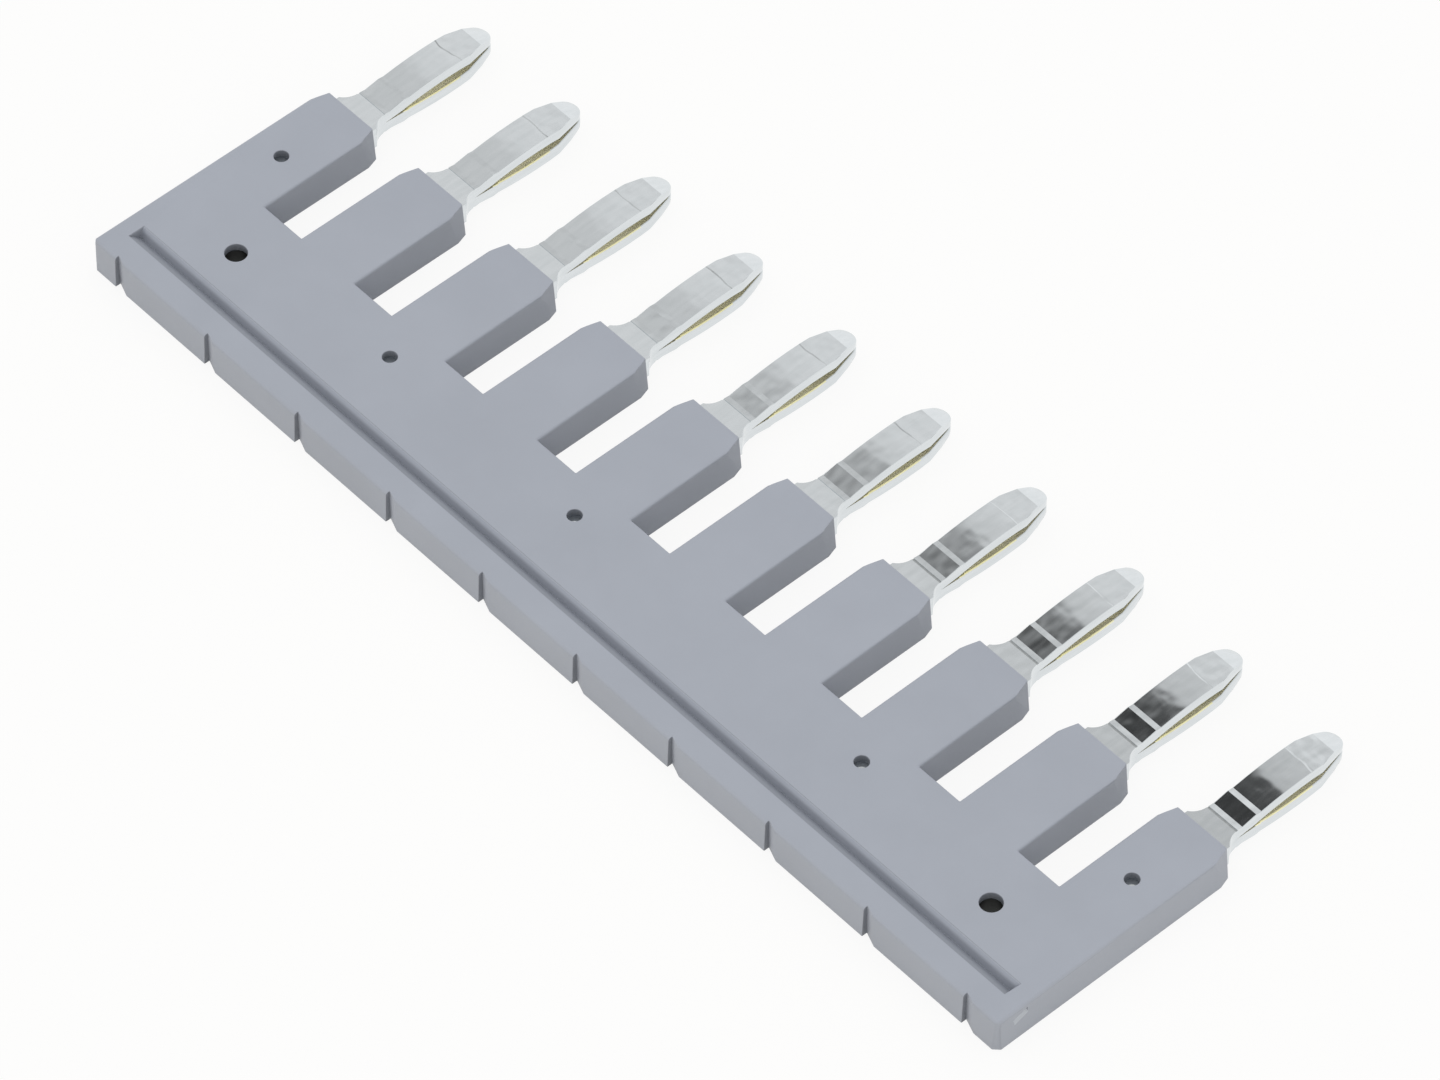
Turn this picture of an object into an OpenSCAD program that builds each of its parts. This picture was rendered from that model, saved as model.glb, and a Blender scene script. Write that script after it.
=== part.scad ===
// Terminal jumper: a flat comb that bridges a row of neighbouring terminals.
// Two stamped contact combs lie back to back in a moulded body.
// Their prongs stand out in front and bow apart, so each pair springs in a contact slot.
// X runs along the row of poles, Y from the back edge to the prong tips, Z is up.
// Sizes are in millimetres, and distances along Y start at the back edge of the body.

/* [Poles] */
// Number of poles
poles = 10; // [2:1:20]
// Distance from one pole to the next
pitch = 5.2; // [4.8:0.1:6.2]

/* [Insulating body] */
// Thickness of the body
body_t = 1.6; // [1.5:0.05:2.4]
// Depth of the rail from the back edge to the slots
rail_d = 6.02; // [5.6:0.02:8]
// Length of a tooth in front of the rail
tooth_len = 5.58; // [4:0.02:8]
// Width of a tooth
tooth_w = 3.17; // [2.8:0.01:3.6]
// How far each front corner of a tooth is cut back across the tooth, at its foot
corner_x = 0.15; // [0.1:0.01:0.4]
// How far each front corner of a tooth is cut back along the tooth, at its foot
corner_y = 0.5; // [0.2:0.05:1.2]
// Lean of those corner cuts towards the middle of the tooth, in degrees
corner_lean = 6; // [2:0.5:10]
// Rounding of the upper edges
edge_r = 0.14; // [0.05:0.01:0.25]
// Draft of the moulded sides, in degrees
draft = 1.7; // [0.5:0.1:3]
// How far the two back corners are cut back on each side
back_corner = 0.24; // [0.05:0.01:0.3]

/* [Groove and pole notches] */
// Distance from the back edge to the groove
groove_y = 1.16; // [0.9:0.02:1.2]
// Width of the ramp that leads down into the groove
groove_ramp = 0.53; // [0.3:0.01:0.6]
// Depth of the groove
groove_depth = 0.48; // [0.2:0.01:0.6]
// How much the steep front wall of the groove leans
groove_lean = 0.21; // [0.02:0.01:0.25]
// Distance from each end of the body to the groove
groove_end = 0.85; // [0.5:0.05:2]
// Width of a pole notch at the back edge
notch_w = 0.62; // [0.3:0.02:0.8]
// Depth of a pole notch at its steep left wall
notch_depth = 0.24; // [0.1:0.02:0.3]
// Distance of the notch's middle from the pole
notch_x = 0.08; // [0:0.01:0.2]

/* [Moulding marks] */
// Diameter of the blind holes where pins held the metal down in the mould
pin_d = 0.6; // [0.4:0.05:1]
// Distance from the back edge to the blind holes in the two end teeth
tooth_pin_y = 8.1; // [7:0.02:10]
// Distance from the back edge to the blind holes in the rail
rail_pin_y = 4.55; // [3.7:0.02:4.8]
// Poles that have a blind hole in the rail, counted from the left
rail_pin_poles = [3, 5, 8]; // [1:1:20]
// Diameter of the two locating holes through body and metal
locating_d = 0.9; // [0.6:0.05:1.2]
// Distance from the back edge to the locating holes
locating_y = 3.63; // [3.2:0.02:4.2]
// Distance from the back edge to the middle of the gate mark on the right end
gate_y = 1.2; // [0.8:0.01:2]
// Height of the middle of the gate mark above the underside
gate_z = 1.1; // [0.7:0.01:1.2]
// Length of the gate mark
gate_w = 0.7; // [0.4:0.05:1]
// Height of the gate mark
gate_h = 0.32; // [0.2:0.02:0.5]
// Depth of the gate mark at its upper side
gate_depth = 0.22; // [0.12:0.01:0.3]
// Tilt of the gate mark, rising towards the teeth, in degrees
gate_tilt = 18; // [0:1:30]

/* [Contact combs] */
// Thickness of the sheet metal
leaf_t = 0.5; // [0.3:0.02:0.6]
// Height of the plane where the two combs meet
comb_z = 0.74; // [0.72:0.01:0.9]
// Distance from the back edge to the bus bar
bus_y = 2.25; // [2.1:0.05:2.6]
// Depth of the bus bar
bus_d = 2.95; // [2.2:0.05:3.3]
// Width of a leg inside a tooth
leg_w = 2.2; // [1.6:0.05:2.4]
// Width of a prong
prong_w = 1.5; // [1.2:0.05:1.6]
// Length of a prong in front of its tooth
prong_len = 6.93; // [6.2:0.01:9]
// Radius of the hollow corners between leg and prong
neck_r = 0.85; // [0.6:0.05:1]
// Distance from the tooth to the end of those hollow corners
neck_len = 1.01; // [0.86:0.01:1.04]
// Length of the tapered front of a prong
taper_len = 1.55; // [1.2:0.01:2]
// Radius of the prong tip
tip_r = 0.5; // [0.3:0.02:0.55]
// Thickness of the tip, which is pressed thinner from outside
tip_t = 0.26; // [0.15:0.01:0.45]

/* [Prong spring] */
// Distance from the tooth to the first bend
first_bend = 1.06; // [1.02:0.01:1.36]
// Width of the score line just behind the first bend
score_w = 0.1; // [0.06:0.01:0.16]
// Depth of the score line
score_depth = 0.03; // [0.02:0.01:0.08]
// Length of the pressed crease in front of the first bend
crease_len = 0.25; // [0.1:0.01:0.4]
// Depth of the pressed crease
crease_depth = 0.035; // [0.01:0.005:0.05]
// Distance from the tooth to the second bend
second_bend = 2.26; // [2:0.02:2.6]
// Length of the pressed land behind the second bend
land_len = 0.26; // [0.1:0.02:0.4]
// How far the outer face of the land drops towards the second bend
land_drop = 0.035; // [0.01:0.005:0.05]
// Distance from the tooth to the end of the bow
bow_end = 4.91; // [4.4:0.01:5.3]
// Length of the lead-in facet at the tip
facet_len = 0.81; // [0.5:0.01:1.2]
// Distance of a leaf from the meeting plane at the second bend
second_gap = 0.07; // [0.04:0.01:0.12]
// Distance of a leaf from the meeting plane at the end of the bow
bow_gap = 0.2; // [0.15:0.005:0.22]
// Distance of a leaf from the meeting plane at the lead-in facet
facet_gap = 0.1; // [0.07:0.005:0.14]
// Distance of a leaf from the meeting plane at the tip
tip_gap = 0.03; // [0.02:0.005:0.06]
// Radius of the bow
bow_r = 15; // [12:0.5:20]

/* [Hidden] */
$fn = 96;

// Extra length of a cut past the face that it opens
past = 0.5;
// Centre of the rounding of an upper edge, and the point where it runs into the leaning side
round_z = body_t - edge_r;
round_x = round_z * tan(draft) + edge_r / cos(draft);
side_x = round_x - edge_r * cos(draft);
side_z = round_z + edge_r * sin(draft);
// Distance from the back edge to the tooth fronts and to the prong tips
tooth_y = rail_d + tooth_len;
tip_y = tooth_y + prong_len;
// Length of the row from the first pole to the last, and of the body
row_len = (poles - 1) * pitch;
body_len = row_len + tooth_w;
// Distance from the back edge to the shoulders of a prong and to the centre of its tip
shoulder_y = tip_y - taper_len;
tip_centre_y = tip_y - tip_r;
// Direction in which the straight sides of the taper touch the round tip
taper_run = tip_centre_y - shoulder_y;
taper_angle = acos(tip_r / norm([prong_w / 2, taper_run])) - atan2(taper_run, prong_w / 2);
// Distances from the back edge to the bends of a prong
first_y = tooth_y + first_bend;
crease_y = first_y + crease_len;
second_y = tooth_y + second_bend;
land_y = second_y - land_len;
bow_y = tooth_y + bow_end;
facet_y = tip_y - facet_len;
// Centre of the bow, on the inner face of a leaf
bow_chord = [bow_y - second_y, bow_gap - second_gap];
bow_height = sqrt(pow(bow_r, 2) - pow(norm(bow_chord) / 2, 2)) / norm(bow_chord);
bow_cy = (second_y + bow_y) / 2 + bow_height * bow_chord.y;
bow_cz = (second_gap + bow_gap) / 2 - bow_height * bow_chord.x;

// Place of a pole along the row, counted from 1 at the left
function pole_x(i) = (i - (poles + 1) / 2) * pitch;

// Section of a moulded bar: flat base, leaning sides and rounded upper edges
module moulded_section(w) {
    polygon([
        [0, 0],
        [w, 0],
        [w - side_x, side_z],
        [w - round_x, body_t],
        [round_x, body_t],
        [side_x, side_z]
    ]);
    for (x = [round_x, w - round_x])
        translate([x, round_z])
            circle(r = edge_r);
}

// Turns a side view drawn in Y and Z into a bar along X
module along_x(length) {
    rotate([90, 0, 90])
        linear_extrude(height = length, center = true)
            children();
}

// Rail from the first tooth to the last
module rail() {
    along_x(row_len)
        moulded_section(rail_d);
}

// One tooth; its back end stands inside the rail or at the back edge
module tooth(back) {
    translate([-tooth_w / 2, tooth_y, 0])
        rotate([90, 0, 0])
            linear_extrude(height = tooth_y - back)
                moulded_section(tooth_w);
}

// Cut across a corner at the origin whose sides run back along X and along Y
module corner_cut(across, along) {
    translate([0, 0, -past])
        linear_extrude(height = body_t + 2 * past)
            polygon([
                [-across - past * across / along, past],
                [past, -along - past * along / across],
                [past, past]
            ]);
}

// Cuts the two front corners of a tooth, deeper at the top than at the foot
module tooth_corners() {
    for (side = [0, 1])
        mirror([side, 0, 0])
            translate([tooth_w / 2, tooth_y, 0])
                rotate([0, -corner_lean, 0])
                    corner_cut(corner_x, corner_y);
}

// Blunts the two back corners of the body
module back_corners() {
    for (side = [0, 1])
        mirror([side, 0, 0])
            translate([body_len / 2, 0, 0])
                mirror([0, 1, 0])
                    corner_cut(back_corner, back_corner);
}

// Outer form of the body: rail and teeth with a drafted, rounded back; the tooth fronts are flat and crisp
module body_block() {
    difference() {
        intersection() {
            union() {
                rail();
                for (i = [1 : poles])
                    translate([pole_x(i), 0, 0])
                        tooth(i == 1 || i == poles ? 0 : rail_d / 2);
            }
            along_x(body_len)
                moulded_section(2 * tooth_y);
        }
        back_corners();
        for (i = [1 : poles])
            translate([pole_x(i), 0, 0])
                tooth_corners();
    }
}

// Groove along the top of the rail for a levering tool: a ramp down to a steep front wall
module groove() {
    translate([0, groove_y, body_t])
        along_x(body_len - 2 * groove_end)
            polygon([
                [0, 0],
                [groove_ramp, -groove_depth],
                [groove_ramp + groove_lean, 0],
                [groove_ramp + groove_lean, past],
                [0, past]
            ]);
}

// Notch in the back edge that marks a pole: a steep left wall and a floor that runs out to the right
module pole_notch() {
    translate([notch_x, 0, -past])
        linear_extrude(height = body_t + 2 * past)
            polygon([
                [-notch_w / 2, -past],
                [-notch_w / 2, notch_depth],
                [notch_w / 2, 0],
                [notch_w / 2, -past]
            ]);
}

// Blind hole from the top face down to the metal
module pin_hole() {
    translate([0, 0, comb_z + leaf_t])
        cylinder(d = pin_d, h = body_t);
}

// The two locating holes, each between an end pole and its neighbour
module locating_holes() {
    for (i = [1.5, poles - 0.5])
        translate([pole_x(i), locating_y, -past])
            cylinder(d = locating_d, h = body_t + 2 * past);
}

// Wedge-shaped mark on the right end where the gate was broken off, deepest along its upper side
module gate_mark() {
    translate([body_len / 2, gate_y, gate_z])
        rotate([90 + gate_tilt, 0, 0])
            linear_extrude(height = gate_w, center = true)
                polygon([
                    [0, -gate_h / 2],
                    [past, -gate_h / 2],
                    [past, gate_h / 2],
                    [-gate_depth, gate_h / 2]
                ]);
}

// Bus bar and legs, seen from above; the legs run on to the given distance
module comb_root(leg_end) {
    translate([-row_len / 2 - leg_w / 2, bus_y])
        square([row_len + leg_w, bus_d]);
    for (i = [1 : poles])
        translate([pole_x(i) - leg_w / 2, bus_y])
            square([leg_w, leg_end - bus_y]);
}

// One prong seen from above, with its straight sides, taper and round tip
module prong_outline() {
    translate([-prong_w / 2, tooth_y])
        square([prong_w, shoulder_y - tooth_y]);
    polygon([
        [-prong_w / 2, shoulder_y],
        [prong_w / 2, shoulder_y],
        [tip_r * cos(taper_angle), tip_centre_y + tip_r * sin(taper_angle)],
        [-tip_r * cos(taper_angle), tip_centre_y + tip_r * sin(taper_angle)]
    ]);
    translate([0, tip_centre_y])
        circle(r = tip_r);
}

// Round cutters that hollow out the corners between leg and prong
module neck_corners() {
    for (side = [-1, 1])
        translate([side * (prong_w / 2 + neck_r), tooth_y + neck_len])
            circle(r = neck_r);
}

// Whole outline of a contact comb, seen from above
module comb_outline() {
    difference() {
        comb_root(tooth_y + neck_len);
        for (i = [1 : poles])
            translate([pole_x(i), 0])
                neck_corners();
    }
    for (i = [1 : poles])
        translate([pole_x(i), 0])
            prong_outline();
}

// Side view of one leaf: flat root, ramp between two bends, bow, and lead-in to the tip
module leaf_side() {
    difference() {
        translate([bus_y, 0])
            square([first_y - bus_y, leaf_t]);
        translate([first_y - score_w, leaf_t - score_depth])
            square([score_w, leaf_t]);
    }
    polygon([
        [first_y, 0],
        [land_y, second_gap],
        [second_y, second_gap],
        [second_y, second_gap + leaf_t],
        [land_y, second_gap + leaf_t + land_drop],
        [crease_y, leaf_t - crease_depth],
        [first_y, leaf_t]
    ]);
    intersection() {
        translate([second_y, 0])
            square([bow_y - second_y, 2 * leaf_t]);
        difference() {
            translate([bow_cy, bow_cz + leaf_t])
                circle(r = bow_r);
            translate([bow_cy, bow_cz])
                circle(r = bow_r);
        }
    }
    polygon([
        [bow_y, bow_gap],
        [facet_y, facet_gap],
        [tip_y, tip_gap],
        [tip_y, tip_gap + tip_t],
        [facet_y, facet_gap + leaf_t],
        [bow_y, bow_gap + leaf_t]
    ]);
}

// One stamping, its inner face on the plane where the combs meet
module contact_comb() {
    difference() {
        intersection() {
            linear_extrude(height = body_t)
                comb_outline();
            along_x(body_len)
                leaf_side();
        }
        locating_holes();
    }
}

// Moulded body round the flat roots of both combs
module insulating_body() {
    color([0.64, 0.66, 0.7])
        difference() {
            body_block();
            groove();
            for (i = [1 : poles])
                translate([pole_x(i), 0, 0])
                    pole_notch();
            for (i = [1, poles])
                translate([pole_x(i), tooth_pin_y, 0])
                    pin_hole();
            for (i = rail_pin_poles)
                translate([pole_x(i), rail_pin_y, 0])
                    pin_hole();
            locating_holes();
            gate_mark();
            translate([0, 0, comb_z - leaf_t])
                linear_extrude(height = 2 * leaf_t)
                    comb_root(tooth_y + past);
        }
}

// Comb above the meeting plane
module upper_contact_comb() {
    color([0.8, 0.81, 0.8])
        translate([0, 0, comb_z])
            contact_comb();
}

// The same stamping turned over, below the meeting plane
module lower_contact_comb() {
    color([0.78, 0.79, 0.78])
        translate([0, 0, comb_z])
            rotate([0, 180, 0])
                contact_comb();
}

// The origin lies under the middle of the whole part, at the level of its underside
translate([0, -tip_y / 2, 0]) {
    insulating_body();
    upper_contact_comb();
    lower_contact_comb();
}
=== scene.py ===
# %% [markdown]
# # A terminal jumper, dressed in Blender
# A terminal jumper is a small comb that bridges a row of rail terminals. A moulded grey body
# holds two stamped metal combs back to back, and their sprung prongs stand out in front.
# The exact solids come from the imported model, so this lesson starts by loading them as a fixed
# frame in metres. The dressed object may not outgrow it.

# %% Load the frame
import bpy
import math
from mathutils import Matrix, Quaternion, Vector


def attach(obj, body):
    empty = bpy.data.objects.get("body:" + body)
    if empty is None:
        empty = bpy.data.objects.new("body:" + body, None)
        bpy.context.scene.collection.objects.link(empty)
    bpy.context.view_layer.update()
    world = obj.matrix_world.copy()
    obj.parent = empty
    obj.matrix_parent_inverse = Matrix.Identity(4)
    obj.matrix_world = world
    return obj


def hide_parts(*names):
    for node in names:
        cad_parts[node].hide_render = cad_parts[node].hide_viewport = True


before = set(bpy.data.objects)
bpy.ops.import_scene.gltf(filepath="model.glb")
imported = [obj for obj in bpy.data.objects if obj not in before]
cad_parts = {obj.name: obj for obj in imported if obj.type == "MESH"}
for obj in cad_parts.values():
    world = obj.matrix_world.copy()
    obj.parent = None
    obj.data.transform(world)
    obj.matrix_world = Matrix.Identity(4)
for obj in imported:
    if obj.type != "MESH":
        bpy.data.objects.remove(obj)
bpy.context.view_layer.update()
scene = bpy.context.scene
scene.view_settings.view_transform = "Standard"
MM = 0.001
print("nodes:", sorted(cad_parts))

# %% [markdown]
# A product shot of a flat part is taken with a long lens from far away, so that the ten teeth
# stay almost parallel. Here the camera stands at the back right and looks down at about fifty
# degrees. It is placed by its position, its viewing direction and a small roll, because those
# three are what a camera fit gives and each can be changed by itself.

# %% Camera
LENS_MM = 235.8
SENSOR_MM = 36.0
CLIP_START = 10 * MM
CAMERA_PLACE = Vector((165.50, -152.055, 268.23)) * MM
VIEW_DIRECTION = Vector((-0.47133, 0.43358, -0.76802))
VIEW_AXIS = (0, 0, 1)
ROLL = math.radians(0.527)

camera_data = bpy.data.cameras.new("product_camera")
camera_data.sensor_fit = "HORIZONTAL"
camera_data.sensor_width = SENSOR_MM
camera_data.lens = LENS_MM
camera_data.clip_start = CLIP_START
camera = bpy.data.objects.new("product_camera", camera_data)
camera.location = CAMERA_PLACE
level_view = VIEW_DIRECTION.to_track_quat("-Z", "Y")
camera.rotation_euler = (level_view @ Quaternion(VIEW_AXIS, ROLL)).to_euler()
scene.collection.objects.link(camera)
scene.camera = camera
print("camera distance mm:", round(camera.location.length / MM))

# %% [markdown]
# The jumper lies on a white table. Three small helpers come first: one starts a node material and
# hands back its shader, one adds a node with its settings, and one tells which rays only look and
# carry no light to the part. The table mixes plain white paint with a glow that only those rays
# see. The glow lifts the shadow to a pale grey, as on a lit table, and puts no light on the part.

# %% White table
TABLE_SIZE = 4.0
TABLE_Z = -0.01 * MM
TABLE_WHITE = (0.86, 0.835, 0.785, 1)
TABLE_ROUGHNESS = 0.9
TABLE_GLOW = 0.88
WHITE_STRENGTH = 1.0


def start_material(name):
    material = bpy.data.materials.new(name)
    material.use_nodes = True
    tree = material.node_tree
    return material, tree, tree.nodes["Principled BSDF"]


def add_node(tree, kind, **settings):
    node = tree.nodes.new(kind)
    for key, value in settings.items():
        if key in node.inputs:
            node.inputs[key].default_value = value
        else:
            setattr(node, key, value)
    return node


def looking_rays(tree):
    rays = add_node(tree, "ShaderNodeLightPath")
    mirror = add_node(tree, "ShaderNodeMath", operation="MAXIMUM")
    looking = add_node(tree, "ShaderNodeMath", operation="MAXIMUM")
    tree.links.new(rays.outputs["Is Glossy Ray"], mirror.inputs[0])
    tree.links.new(rays.outputs["Is Transmission Ray"], mirror.inputs[1])
    tree.links.new(rays.outputs["Is Camera Ray"], looking.inputs[0])
    tree.links.new(mirror.outputs[0], looking.inputs[1])
    return looking.outputs[0]


bpy.ops.object.select_all(action="DESELECT")
bpy.ops.mesh.primitive_plane_add(size=TABLE_SIZE, location=(0, 0, TABLE_Z))
bpy.ops.object.transform_apply(location=True, rotation=True, scale=True)
table = bpy.context.object
table.name = "white_table"
table_paint, tree, shader = start_material("white_table_paint")
shader.inputs["Base Color"].default_value = TABLE_WHITE
shader.inputs["Roughness"].default_value = TABLE_ROUGHNESS
share = add_node(tree, "ShaderNodeMath", operation="MULTIPLY")
share.inputs[1].default_value = TABLE_GLOW
glow = add_node(tree, "ShaderNodeEmission", Strength=WHITE_STRENGTH)
blend = add_node(tree, "ShaderNodeMixShader")
tree.links.new(looking_rays(tree), share.inputs[0])
tree.links.new(share.outputs[0], blend.inputs["Fac"])
tree.links.new(shader.outputs[0], blend.inputs[1])
tree.links.new(glow.outputs[0], blend.inputs[2])
tree.links.new(blend.outputs[0], tree.nodes["Material Output"].inputs["Surface"])
table.data.materials.append(table_paint)
print("table:", table.name)

# %% [markdown]
# The light is a white tent: an even white world of strength one, in which a colour renders about
# as it is written. Real tents aren't perfectly even. The roof is the brightest part, the wall on
# the camera's side is a little warmer and dimmer, and the wall behind the prongs is dimmer still.
# Those small differences keep the upright faces from looking like the top face. Rays that only look
# see plain white behind the table, so the metal mirrors the same white that the picture shows.
# A mix node keeps sockets for numbers, vectors and colours, so its colour sockets get names first.

# %% Light tent
ROOF = (1.04, 1.055, 1.075, 1)
BACK_WALL = (0.84, 0.80, 0.72, 1)
FRONT_WALL = (0.66, 0.66, 0.65, 1)
WHITE = (1, 1, 1, 1)
WALL_TOP = 0.75
WALL_TURN = 0.6
MIX_FIRST, MIX_SECOND, MIX_COLOUR = 6, 7, 2


def blend_by(tree, value, low, high, first, second):
    spread = add_node(tree, "ShaderNodeMapRange")
    spread.inputs["From Min"].default_value = low
    spread.inputs["From Max"].default_value = high
    mix = add_node(tree, "ShaderNodeMix", data_type="RGBA")
    mix.inputs[MIX_FIRST].default_value = first
    mix.inputs[MIX_SECOND].default_value = second
    tree.links.new(value, spread.inputs["Value"])
    tree.links.new(spread.outputs["Result"], mix.inputs["Factor"])
    return mix


world = bpy.data.worlds.new("light_tent")
world.use_nodes = True
scene.world = world
tree = world.node_tree
place = add_node(tree, "ShaderNodeTexCoord")
axes = add_node(tree, "ShaderNodeSeparateXYZ")
tree.links.new(place.outputs["Generated"], axes.inputs[0])
tent_wall = blend_by(tree, axes.outputs["Y"], -WALL_TURN, WALL_TURN, BACK_WALL, FRONT_WALL)
tent = blend_by(tree, axes.outputs["Z"], 0, WALL_TOP, BACK_WALL, ROOF)
tree.links.new(tent_wall.outputs[MIX_COLOUR], tent.inputs[MIX_FIRST])
backdrop = blend_by(tree, looking_rays(tree), 0, 1, ROOF, WHITE)
tree.links.new(tent.outputs[MIX_COLOUR], backdrop.inputs[MIX_FIRST])
tree.links.new(backdrop.outputs[MIX_COLOUR], tree.nodes["Background"].inputs["Color"])
tree.nodes["Background"].inputs["Strength"].default_value = WHITE_STRENGTH
print("world:", world.name)

# %% [markdown]
# Bare metal only looks like metal when it has something dark to mirror. A photographer hangs a
# dark flag in the tent for that. This one is a card above the prongs, seen by mirror rays alone,
# so it throws no shadow. A strip of it is black near the camera, so the rising parts of the prongs
# on the right turn dark and the level parts stay pale. The rest of it is a plain pale cloth. Each
# list of stops pairs a place on the flag, in millimetres from its middle, with the tone there.

# %% Dark flag
FLAG_Z = 150 * MM
FLAG_REACH = 400
FLAG_START = -FLAG_REACH / 2
FLAG_CLOTH = (
    (-30, 0.75), (-8, 0.69), (62, 0.70), (80, 0.82),
    (90, 0.79), (106, 0.86), (134, 0.84), (160, 0.65))
FLAG_STRIP = (
    (-30, 0.9), (-8, 0.05), (30, 0.05), (64, 0.09),
    (75, 0.59), (112, 0.66), (134, 0.68), (141, 1.05))
STRIP_SHARE = ((-92, 0.0), (-54, 1.0), (-34, 1.0), (-16, 0.0))
RAMP_MIDDLE = 0.5


def tone_ramp(tree, value, stops):
    spread = add_node(tree, "ShaderNodeMapRange")
    spread.inputs["From Min"].default_value = FLAG_START * MM
    spread.inputs["From Max"].default_value = (FLAG_START + FLAG_REACH) * MM
    ramp = add_node(tree, "ShaderNodeValToRGB")
    points = ramp.color_ramp.elements
    while len(points) < len(stops):
        points.new(RAMP_MIDDLE)
    for point, (where, tone) in zip(points, stops):
        point.position = (where - FLAG_START) / FLAG_REACH
        point.color = (tone, tone, tone, 1)
    tree.links.new(value, spread.inputs["Value"])
    tree.links.new(spread.outputs["Result"], ramp.inputs["Fac"])
    return ramp.outputs["Color"]


bpy.ops.object.select_all(action="DESELECT")
bpy.ops.mesh.primitive_plane_add(size=FLAG_REACH * MM, location=(0, 0, FLAG_Z))
bpy.ops.object.transform_apply(location=True, rotation=True, scale=True)
flag = bpy.context.object
flag.name = "dark_flag"
flag_cloth, tree, shader = start_material("flag_cloth")
tree.nodes.remove(shader)
place = add_node(tree, "ShaderNodeTexCoord")
axes = add_node(tree, "ShaderNodeSeparateXYZ")
tree.links.new(place.outputs["Object"], axes.inputs[0])
shade = add_node(tree, "ShaderNodeMix", data_type="RGBA")
tree.links.new(tone_ramp(tree, axes.outputs["X"], STRIP_SHARE), shade.inputs["Factor"])
tree.links.new(tone_ramp(tree, axes.outputs["Y"], FLAG_CLOTH), shade.inputs[MIX_FIRST])
tree.links.new(tone_ramp(tree, axes.outputs["Y"], FLAG_STRIP), shade.inputs[MIX_SECOND])
glow = add_node(tree, "ShaderNodeEmission", Strength=WHITE_STRENGTH)
tree.links.new(shade.outputs[MIX_COLOUR], glow.inputs["Color"])
tree.links.new(glow.outputs[0], tree.nodes["Material Output"].inputs["Surface"])
flag.data.materials.append(flag_cloth)
flag.visible_camera = False
flag.visible_diffuse = False
flag.visible_shadow = False
flag.visible_transmission = False
print("flag:", flag.name)

# %% [markdown]
# The body is one injection moulding. Its solid already has the draft, the rounded upper edges,
# the groove and the holes, so it is copied and only softened. A imported mesh is loose triangles,
# so the copy is merged first, and flat faces are joined into single ones. The copy then takes the
# place of the solid, which is hidden, and is attached to the root body.

# %% Merged copy of the body
MERGE = 0.0002 * MM
FLAT = math.radians(0.2)


def make_active(piece):
    bpy.ops.object.select_all(action="DESELECT")
    piece.select_set(True)
    bpy.context.view_layer.objects.active = piece


def merged_copy(node_name, piece_name):
    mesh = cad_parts[node_name].data.copy()
    mesh.materials.clear()
    piece = bpy.data.objects.new(piece_name, mesh)
    scene.collection.objects.link(piece)
    make_active(piece)
    bpy.ops.object.mode_set(mode="EDIT")
    bpy.ops.mesh.customdata_custom_splitnormals_clear()
    bpy.ops.mesh.select_all(action="SELECT")
    bpy.ops.mesh.remove_doubles(threshold=MERGE)
    bpy.ops.mesh.dissolve_limited(angle_limit=FLAT)
    bpy.ops.object.mode_set(mode="OBJECT")
    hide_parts(node_name)
    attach(piece, "root")
    return piece


body = merged_copy("insulating_body", "moulded_body")
print("body faces:", len(body.data.polygons))

# %% [markdown]
# A dead sharp edge catches no light, and a mould can't leave one. So every edge of more than fifty
# degrees gets a fine bevel. Edges are picked in code by their ends and by the faces on both sides,
# as one would click them by hand. The rounded upper edges and the blunted corners turn in smaller
# steps, so they stay as they are and are only shaded smooth. Weighted normals keep the large flat
# faces flat in that shading, and the narrow faces between them look round.

# %% Soft edges of the body
SOFT_EDGE = 0.03 * MM
SOFT_STEPS = 2
SHARP = math.radians(50)
SMOOTH = math.radians(48)
KEEP_MATERIAL = -1


def edge_sides(mesh):
    sides = {}
    for face in mesh.polygons:
        for key in face.edge_keys:
            sides.setdefault(key, []).append(face.normal.copy())
    return sides


def soften(piece, wanted, width, steps, material=KEEP_MATERIAL):
    make_active(piece)
    bpy.ops.object.mode_set(mode="EDIT")
    bpy.ops.mesh.select_mode(type="EDGE")
    bpy.ops.mesh.select_all(action="DESELECT")
    bpy.ops.object.mode_set(mode="OBJECT")
    mesh = piece.data
    sides = edge_sides(mesh)
    picked = 0
    for edge in mesh.edges:
        ends = [mesh.vertices[i].co for i in edge.vertices]
        edge.select = wanted(ends, sides[edge.key])
        picked += edge.select
    bpy.ops.object.mode_set(mode="EDIT")
    bpy.ops.mesh.bevel(
        offset=width, segments=steps, material=material, clamp_overlap=False, loop_slide=False)
    bpy.ops.object.mode_set(mode="OBJECT")
    return picked


def flat_faces_stay_flat(piece):
    weigh = piece.modifiers.new("weighted_normals", "WEIGHTED_NORMAL")
    weigh.keep_sharp = True
    bpy.ops.object.modifier_apply(modifier=weigh.name)


def fold(normals):
    return normals[0].angle(normals[-1], 0)


def is_sharp(_ends, normals):
    return fold(normals) > SHARP


print("sharp edges:", soften(body, is_sharp, SOFT_EDGE, SOFT_STEPS))
bpy.ops.object.shade_smooth_by_angle(angle=SMOOTH)
flat_faces_stay_flat(body)
print("body faces, softened:", len(body.data.polygons))

# %% [markdown]
# The plastic is a blue-grey polyamide with a satin skin. Its colour drifts by a percent or two
# where the melt flowed, and its skin has a fine grain from the spark-eroded mould. Both are noise
# on the object's own coordinates, scaled to millimetres: a slow one for the colour, and a fine
# one that feeds a few thousandths of a millimetre of bump and a little change in roughness.

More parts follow.
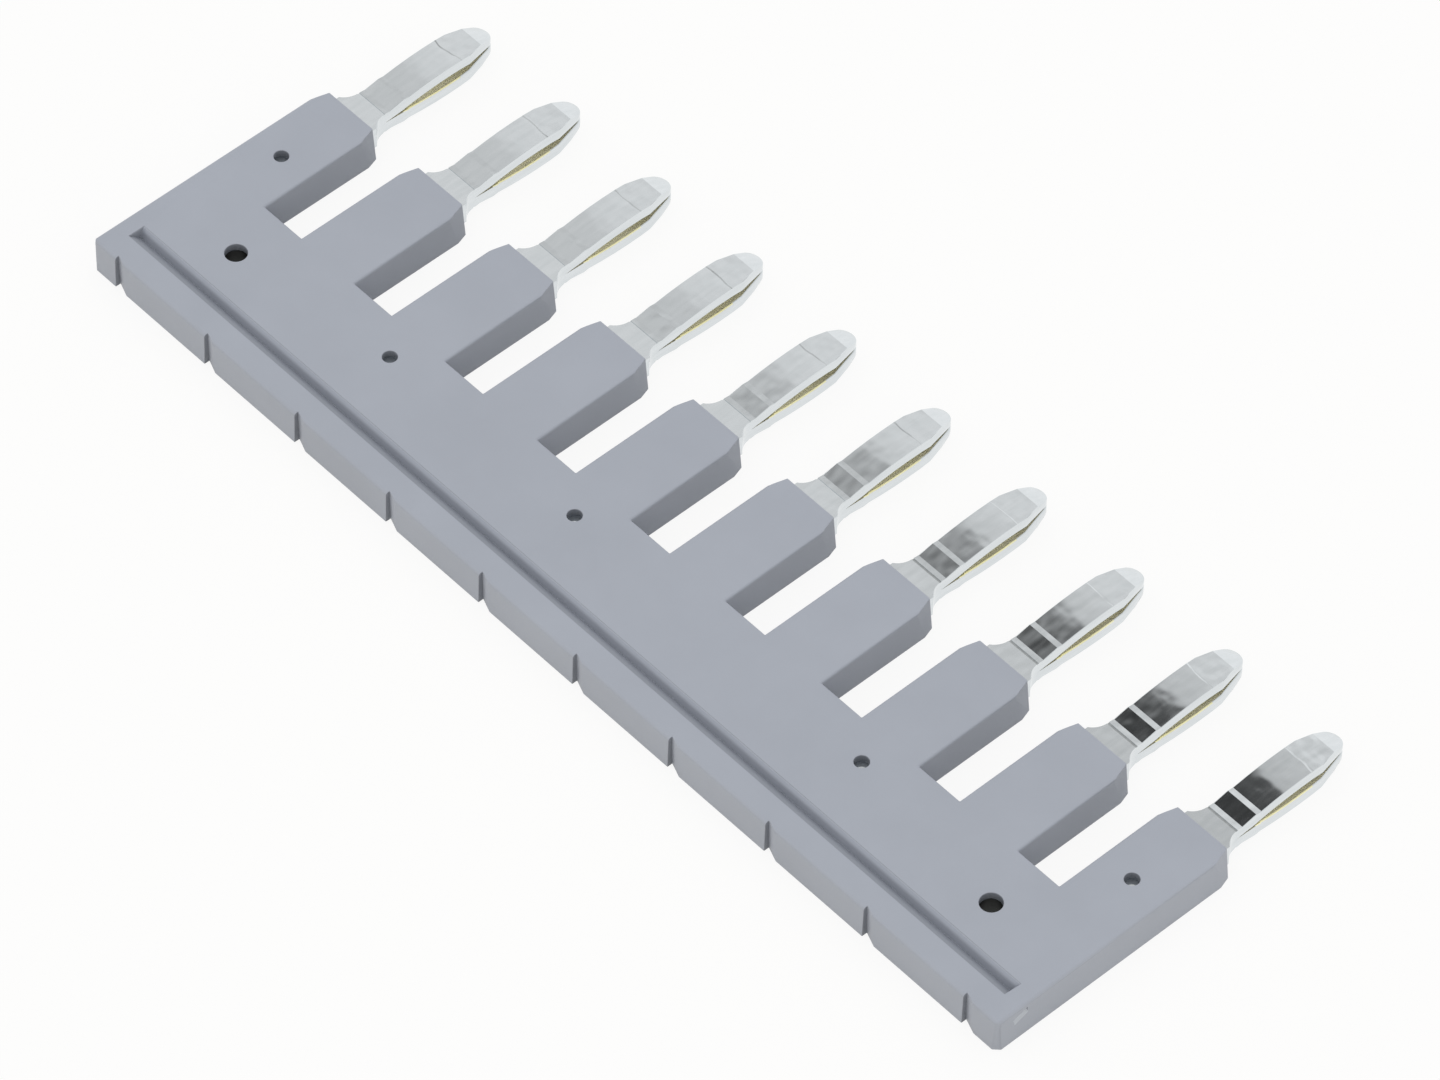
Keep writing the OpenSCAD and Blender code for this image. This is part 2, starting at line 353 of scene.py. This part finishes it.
# %% Moulded plastic
PER_MM = 1 / MM
DRIFT_LOW, DRIFT_HIGH = 0.3, 0.7
SOME_DETAIL = 2.0
BUMP_STRENGTH = 0.5
FLOW_SCALE = 0.35
FLOW_DETAIL = 3.0
GRAIN_SCALE = 13.0
GRAIN_DEPTH = 0.004
PLASTIC_DARK = (0.352, 0.374, 0.424, 1)
PLASTIC_PALE = (0.370, 0.393, 0.445, 1)
SATIN = (0.47, 0.56)


def millimetres(tree, stretch=(1, 1, 1)):
    place = add_node(tree, "ShaderNodeTexCoord")
    mapping = add_node(tree, "ShaderNodeMapping")
    mapping.inputs["Scale"].default_value = [PER_MM * axis for axis in stretch]
    tree.links.new(place.outputs["Object"], mapping.inputs["Vector"])
    return mapping.outputs["Vector"]


def noise(tree, vector, scale, detail=SOME_DETAIL):
    texture = add_node(tree, "ShaderNodeTexNoise", Scale=scale, Detail=detail)
    tree.links.new(vector, texture.inputs["Vector"])
    return texture.outputs["Fac"]


def colour_drift(tree, shader, value, dark, pale):
    ramp = add_node(tree, "ShaderNodeValToRGB")
    low_end, high_end = ramp.color_ramp.elements
    low_end.position = DRIFT_LOW
    high_end.position = DRIFT_HIGH
    low_end.color = dark
    high_end.color = pale
    tree.links.new(value, ramp.inputs["Fac"])
    tree.links.new(ramp.outputs["Color"], shader.inputs["Base Color"])


def roughness_drift(tree, shader, value, low, high):
    spread = add_node(tree, "ShaderNodeMapRange")
    spread.inputs["From Min"].default_value = DRIFT_LOW
    spread.inputs["From Max"].default_value = DRIFT_HIGH
    spread.inputs["To Min"].default_value = low
    spread.inputs["To Max"].default_value = high
    tree.links.new(value, spread.inputs["Value"])
    tree.links.new(spread.outputs["Result"], shader.inputs["Roughness"])


def fine_bump(tree, shader, value, depth_mm):
    bump = add_node(tree, "ShaderNodeBump", Strength=BUMP_STRENGTH, Distance=depth_mm * MM)
    tree.links.new(value, bump.inputs["Height"])
    tree.links.new(bump.outputs["Normal"], shader.inputs["Normal"])


def plastic_finish(name, dark, pale, roughness):
    material, tree, shader = start_material(name)
    vector = millimetres(tree)
    colour_drift(tree, shader, noise(tree, vector, FLOW_SCALE, FLOW_DETAIL), dark, pale)
    grain = noise(tree, vector, GRAIN_SCALE)
    roughness_drift(tree, shader, grain, *roughness)
    fine_bump(tree, shader, grain, GRAIN_DEPTH)
    return material


plastic = plastic_finish("blue_grey_plastic", PLASTIC_DARK, PLASTIC_PALE, SATIN)
body.data.materials.append(plastic)
print("body material:", plastic.name)

# %% [markdown]
# Some small places of the same plastic get painted shade, and one gets a painted highlight. The
# walls of the holes, the groove, the slots between the teeth and the steep notch walls lie in shade,
# so they are painted darker as painted shade and are a little rougher. The far wall of the groove is
# painted darkest at its foot and lighter towards its rim, so its colour is blended by height. The
# facet where the gate was broken off faces up into the light, so it is painted paler as a painted
# highlight.
# A table lists these finishes: darkest and palest colour, then the range of roughness. Their order
# is the order of the material slots.

# %% Finishes of the small places
HOLLOW_SATIN = (0.5, 0.6)
DULL = (0.55, 0.65)
BROKEN = (0.3, 0.4)
PLACE_FINISHES = (
    # painted shade on the walls of the holes
    ("hole_wall_painted_shade", (0.185, 0.198, 0.228, 1), (0.215, 0.229, 0.262, 1), HOLLOW_SATIN),
    # painted shade in the groove
    ("groove_painted_shade", (0.253, 0.269, 0.307, 1), (0.269, 0.285, 0.324, 1), DULL),
    # painted shade on the far wall of the groove
    ("groove_wall_painted_shade", (0.288, 0.306, 0.349, 1), (0.304, 0.322, 0.366, 1), DULL),
    # painted shade on the walls of the slots between the teeth
    ("slot_wall_painted_shade", (0.310, 0.329, 0.373, 1), (0.326, 0.346, 0.392, 1), HOLLOW_SATIN),
    # painted shade on the notch walls
    ("notch_wall_painted_shade", (0.20, 0.212, 0.24, 1), (0.215, 0.228, 0.26, 1), DULL),
    # painted highlight on the gate facet, which faces up into the light
    ("gate_facet_painted_highlight", (0.46, 0.49, 0.54, 1), (0.54, 0.57, 0.62, 1), BROKEN))
SKIN, HOLE_SHADE, GROOVE_SHADE, GROOVE_WALL_SHADE, SLOT_SHADE, NOTCH_SHADE, GATE_HIGHLIGHT = range(1 + len(PLACE_FINISHES))
FOOT_Z = 1.33
RIM_Z = 1.47
RIM_LIGHTER = (0.433, 0.460, 0.521, 1)


# Painted shade on the far wall of the groove: darker at its foot, lighter towards its rim.
def shade_fading_up_wall(material):
    tree = material.node_tree
    shader = tree.nodes["Principled BSDF"]
    axes = add_node(tree, "ShaderNodeSeparateXYZ")
    tree.links.new(millimetres(tree), axes.inputs[0])
    rim_fade = blend_by(tree, axes.outputs["Z"], FOOT_Z, RIM_Z, RIM_LIGHTER, RIM_LIGHTER)
    tree.links.new(shader.inputs["Base Color"].links[0].from_socket, rim_fade.inputs[MIX_FIRST])
    tree.links.new(rim_fade.outputs[MIX_COLOUR], shader.inputs["Base Color"])


for finish in PLACE_FINISHES:
    body.data.materials.append(plastic_finish(*finish))
shade_fading_up_wall(body.data.materials[GROOVE_WALL_SHADE])
print("body materials:", len(body.data.materials))

# %% [markdown]
# Each place is found by where it lies: holes by the distance from their axes, which stand on steps
# of the pole pitch, and the others by their boxes, in millimetres, and the way their faces look. The
# last is read from the normal: a component near one means that the face looks along that axis.

# %% Faces of the small places
PITCH = 5.2 * MM
LOCATING_Y = -5.635 * MM
TOOTH_PIN_Y = -1.165 * MM
RAIL_PIN_Y = -4.715 * MM
LOCATING_RADIUS = 0.45 * MM
PIN_RADIUS = 0.3 * MM
HOLE_MARGIN = 1.05
LOCATING_HOLES = [(steps * PITCH, LOCATING_Y, LOCATING_RADIUS) for steps in (-4, 4)]
TOOTH_PINS = [(steps * PITCH, TOOTH_PIN_Y, PIN_RADIUS) for steps in (-4.5, 4.5)]
RAIL_PINS = [(steps * PITCH, RAIL_PIN_Y, PIN_RADIUS) for steps in (-2.5, -0.5, 2.5)]
BODY_HOLES = LOCATING_HOLES + TOOTH_PINS + RAIL_PINS
GROOVE_BOX = ((-24.2, 24.2), (-8.2, -7.3), (1.08, 1.598))
SLOT_BOX = ((-24.5, 24.5), (-3.3, 2.3), (0.0, 1.6))
NOTCH_BOX = ((-24.6, 24.6), (-9.3, -8.99), (0.0, 1.6))
GATE_BOX = ((24.6, 25.0), (-8.5, -7.6), (0.8, 1.4))
UPRIGHT = 0.3
SLANTED = 0.5
FACING = 0.85


def in_hole(point, holes):
    return any(math.hypot(point.x - x, point.y - y) < HOLE_MARGIN * r for x, y, r in holes)


def in_box(point, box):
    return all(low * MM < c < high * MM for c, (low, high) in zip(point, box))


for face in body.data.polygons:
    if abs(face.normal.z) < UPRIGHT and in_hole(face.center, BODY_HOLES):
        face.material_index = HOLE_SHADE
    elif in_box(face.center, GROOVE_BOX):
        face.material_index = GROOVE_WALL_SHADE if face.normal.y < -SLANTED else GROOVE_SHADE
    elif in_box(face.center, SLOT_BOX) and abs(face.normal.x) > FACING:
        face.material_index = SLOT_SHADE
    elif in_box(face.center, NOTCH_BOX) and face.normal.x > FACING:
        face.material_index = NOTCH_SHADE
    elif in_box(face.center, GATE_BOX) and face.normal.z > UPRIGHT:
        face.material_index = GATE_HIGHLIGHT
marked = [face.material_index for face in body.data.polygons]
print("faces of skin, holes, groove, its far wall, slots, notches, gate:",
      [marked.count(place) for place in range(SKIN, GATE_HIGHLIGHT + 1)])

# %% [markdown]
# Each comb is stamped from one strip. The punch rolls the edge of the inner face round, and plating
# softens the edge of the outer one. So the inner rims of the prongs get a wide bevel with a finish
# of its own, and the outer rims a fine one. A rim edge has one upright face, and its other face
# looks outwards or across to the other comb. Behind the bends the combs touch and stay as they are.

# %% Stamped combs
ROLLED_EDGE = 0.06 * MM
ROLLED_STEPS = 3
OUTER_EDGE = 0.025 * MM
OUTER_STEPS = 2
CREASE_END = 3.64 * MM
LAND_START = 4.33 * MM
UP, DOWN = 1, -1
METALS = (
    "tin_plate", "tin_plated_wall", "bare_inner_face",
    "rolled_edge", "punched_wall_painted_shade", "score_line_painted_shade")
PLATE, WALL, INNER, ROLLED, PUNCHED_SHADE, SCORE_SHADE = range(len(METALS))


def rim(looks, from_y):
    def wanted(ends, normals):
        tilts = sorted((n.z for n in normals), key=abs)
        upright = abs(tilts[0]) < UPRIGHT and tilts[-1] * looks > FACING
        return upright and min(end.y for end in ends) > from_y
    return wanted


def stamped_comb(node_name, piece_name, outer_side):
    comb = merged_copy(node_name, piece_name)
    for material in comb_materials:
        comb.data.materials.append(material)
    rolled = soften(comb, rim(-outer_side, LAND_START), ROLLED_EDGE, ROLLED_STEPS, ROLLED)
    outer = soften(comb, rim(outer_side, CREASE_END), OUTER_EDGE, OUTER_STEPS, PLATE)
    print(piece_name, "rolled edges:", rolled, "outer edges:", outer)
    return comb


comb_materials = [start_material(name)[0] for name in METALS]
upper_comb = stamped_comb("upper_contact_comb", "upper_comb", UP)
lower_comb = stamped_comb("lower_contact_comb", "lower_comb", DOWN)

# %% [markdown]
# Now every face of a comb gets its finish by its place: the upright walls are plated like the outer
# faces but have no marks of the press, and the inner faces show the copper alloy through a thin
# plate.
# The walls of the punched holes are painted nearly black, as painted shade deep in the holes, and
# the score line behind the first bend is painted dark, as painted shade, on the prongs to the right
# only.
# The bends are only a few degrees, so a smoothing angle can't find them.
# They are edges between two nearly level faces, and marking those sharp keeps each band of a prong
# clean up to its rim.

# %% Faces and bends of the combs
LEAD_IN = 7.15 * MM
SCORE_START = 3.29 * MM
FIRST_BEND = 3.40 * MM
SCORE_SHADE_FROM = PITCH
COMB_SMOOTH = math.radians(40)
BEND = math.radians(3.0)


def place_finishes(comb, outer_side):
    for face in comb.data.polygons:
        outwards = face.normal.z * outer_side
        if in_hole(face.center, LOCATING_HOLES) and abs(outwards) < FACING:
            face.material_index = PUNCHED_SHADE
        elif face.material_index == ROLLED and (outwards > -SLANTED or face.center.y > LEAD_IN):
            face.material_index = WALL
        elif face.material_index == PLATE and outwards < -FACING:
            face.material_index = INNER
        elif outwards > FACING and SCORE_START < face.center.y < FIRST_BEND:
            # the score line is painted dark as painted shade, on the prongs to the right only
            face.material_index = SCORE_SHADE if face.center.x > SCORE_SHADE_FROM else PLATE
        elif face.material_index == PLATE and outwards < FACING:
            face.material_index = WALL


def crisp_bends(comb):
    make_active(comb)
    bpy.ops.object.shade_smooth_by_angle(angle=COMB_SMOOTH)
    sides = edge_sides(comb.data)
    bends = 0
    for edge in comb.data.edges:
        normals = sides[edge.key]
        level = min(abs(normal.z) for normal in normals) > FACING
        if level and fold(normals) > BEND:
            edge.use_edge_sharp = True
            bends += 1
    flat_faces_stay_flat(comb)
    return bends


place_finishes(upper_comb, UP)
place_finishes(lower_comb, DOWN)
print("bends:", crisp_bends(upper_comb), crisp_bends(lower_comb))

# %% [markdown]
# Tin plate is a soft bright metal. It mirrors the tent with a slight blur, and the strip's
# rolling direction leaves faint streaks along each prong. The streaks are noise stretched along
# the prong, and a smooth noise dents the mirror a little, as forming does. The inner faces get
# the same treatment in the colour of the copper alloy, and the rolled edges are its polished rim.
# The table gives each metal its darkest and palest colour, its range of roughness, and the depth
# of its dents in millimetres, in the order of the material slots.

# %% Metal finishes
STREAKS = (5.0, 0.6, 5.0)
STREAK_SCALE = 1.0
DENT_SCALE = 2.2
DENT_DETAIL = 0.0
TIN_DARK = (0.69, 0.725, 0.742, 1)
TIN_PALE = (0.738, 0.77, 0.788, 1)
TIN_GLOSS = (0.06, 0.11)
METAL_LOOKS = (
    (TIN_DARK, TIN_PALE, TIN_GLOSS, 0.016),
    (TIN_DARK, TIN_PALE, TIN_GLOSS, 0.010),
    ((0.90, 0.885, 0.76, 1), (0.96, 0.945, 0.82, 1), (0.34, 0.46), 0.002),
    ((0.86, 0.82, 0.48, 1), (0.95, 0.91, 0.60, 1), (0.16, 0.26), 0.001),
    # painted shade: the near-black walls of the punched holes
    ((0.03, 0.032, 0.03, 1), (0.06, 0.062, 0.06, 1), (0.45, 0.6), 0.003),
    # painted shade: the dark score line
    ((0.42, 0.44, 0.445, 1), (0.52, 0.54, 0.545, 1), (0.3, 0.4), 0.003))


def metal_finish(material, dark, pale, roughness, dents):
    tree = material.node_tree
    shader = tree.nodes["Principled BSDF"]
    shader.inputs["Metallic"].default_value = 1
    streaks = noise(tree, millimetres(tree, STREAKS), STREAK_SCALE)
    colour_drift(tree, shader, streaks, dark, pale)
    roughness_drift(tree, shader, streaks, *roughness)
    fine_bump(tree, shader, noise(tree, millimetres(tree), DENT_SCALE, DENT_DETAIL), dents)
    print("metal:", material.name)


for material, look in zip(comb_materials, METAL_LOOKS):
    metal_finish(material, *look)

# %% [markdown]
# The press leaves a fine line across each prong where the bow ends. It is a step of about a
# hundredth of a millimetre that wanders a little, so it is added to the dents of the tin and isn't
# modelled. On the right the line keeps the colour of the tin. Towards the left, the colour at the
# middle of the step is blended towards a duller grey.

# %% Press line
LINE_START = 7.41
LINE_WIDTH = 0.09
LINE_STEP = 1.5
LINE_SWAY = 0.5
LINE_WANDER = 0.6
LINE_DULL = (0.42, 0.44, 0.445, 1)
DULL_X, BRIGHT_X = -5.2, 10.4
HALF_STEP = 0.5


def line_step(tree, axes, vector):
    sway = add_node(tree, "ShaderNodeMath", operation="MULTIPLY_ADD")
    sway.inputs[1].default_value = LINE_SWAY
    step = add_node(tree, "ShaderNodeMapRange", interpolation_type="SMOOTHSTEP")
    step.inputs["From Min"].default_value = LINE_START
    step.inputs["From Max"].default_value = LINE_START + LINE_WIDTH
    step.inputs["To Min"].default_value = 1
    step.inputs["To Max"].default_value = 0
    tree.links.new(noise(tree, vector, LINE_WANDER), sway.inputs[0])
    tree.links.new(axes.outputs["Y"], sway.inputs[2])
    tree.links.new(sway.outputs[0], step.inputs["Value"])
    return step.outputs["Result"]


def press_line(material):
    tree = material.node_tree
    colour = tree.nodes["Principled BSDF"].inputs["Base Color"]
    relief = tree.nodes["Bump"].inputs["Height"]
    vector = millimetres(tree)
    axes = add_node(tree, "ShaderNodeSeparateXYZ")
    tree.links.new(vector, axes.inputs[0])
    step = line_step(tree, axes, vector)
    height = add_node(tree, "ShaderNodeMath", operation="MULTIPLY_ADD")
    height.inputs[1].default_value = LINE_STEP
    tree.links.new(step, height.inputs[0])
    tree.links.new(relief.links[0].from_socket, height.inputs[2])
    tree.links.new(height.outputs[0], relief)
    middle = add_node(tree, "ShaderNodeMath", operation="PINGPONG")
    middle.inputs[1].default_value = HALF_STEP
    tree.links.new(step, middle.inputs[0])
    bright = colour.links[0].from_socket
    dulled = blend_by(tree, axes.outputs["X"], DULL_X, BRIGHT_X, LINE_DULL, LINE_DULL)
    lined = blend_by(tree, middle.outputs[0], 0, HALF_STEP, LINE_DULL, LINE_DULL)
    tree.links.new(bright, dulled.inputs[MIX_SECOND])
    tree.links.new(bright, lined.inputs[MIX_FIRST])
    tree.links.new(dulled.outputs[MIX_COLOUR], lined.inputs[MIX_SECOND])
    tree.links.new(lined.outputs[MIX_COLOUR], colour)


press_line(comb_materials[PLATE])
print("press line on:", comb_materials[PLATE].name)
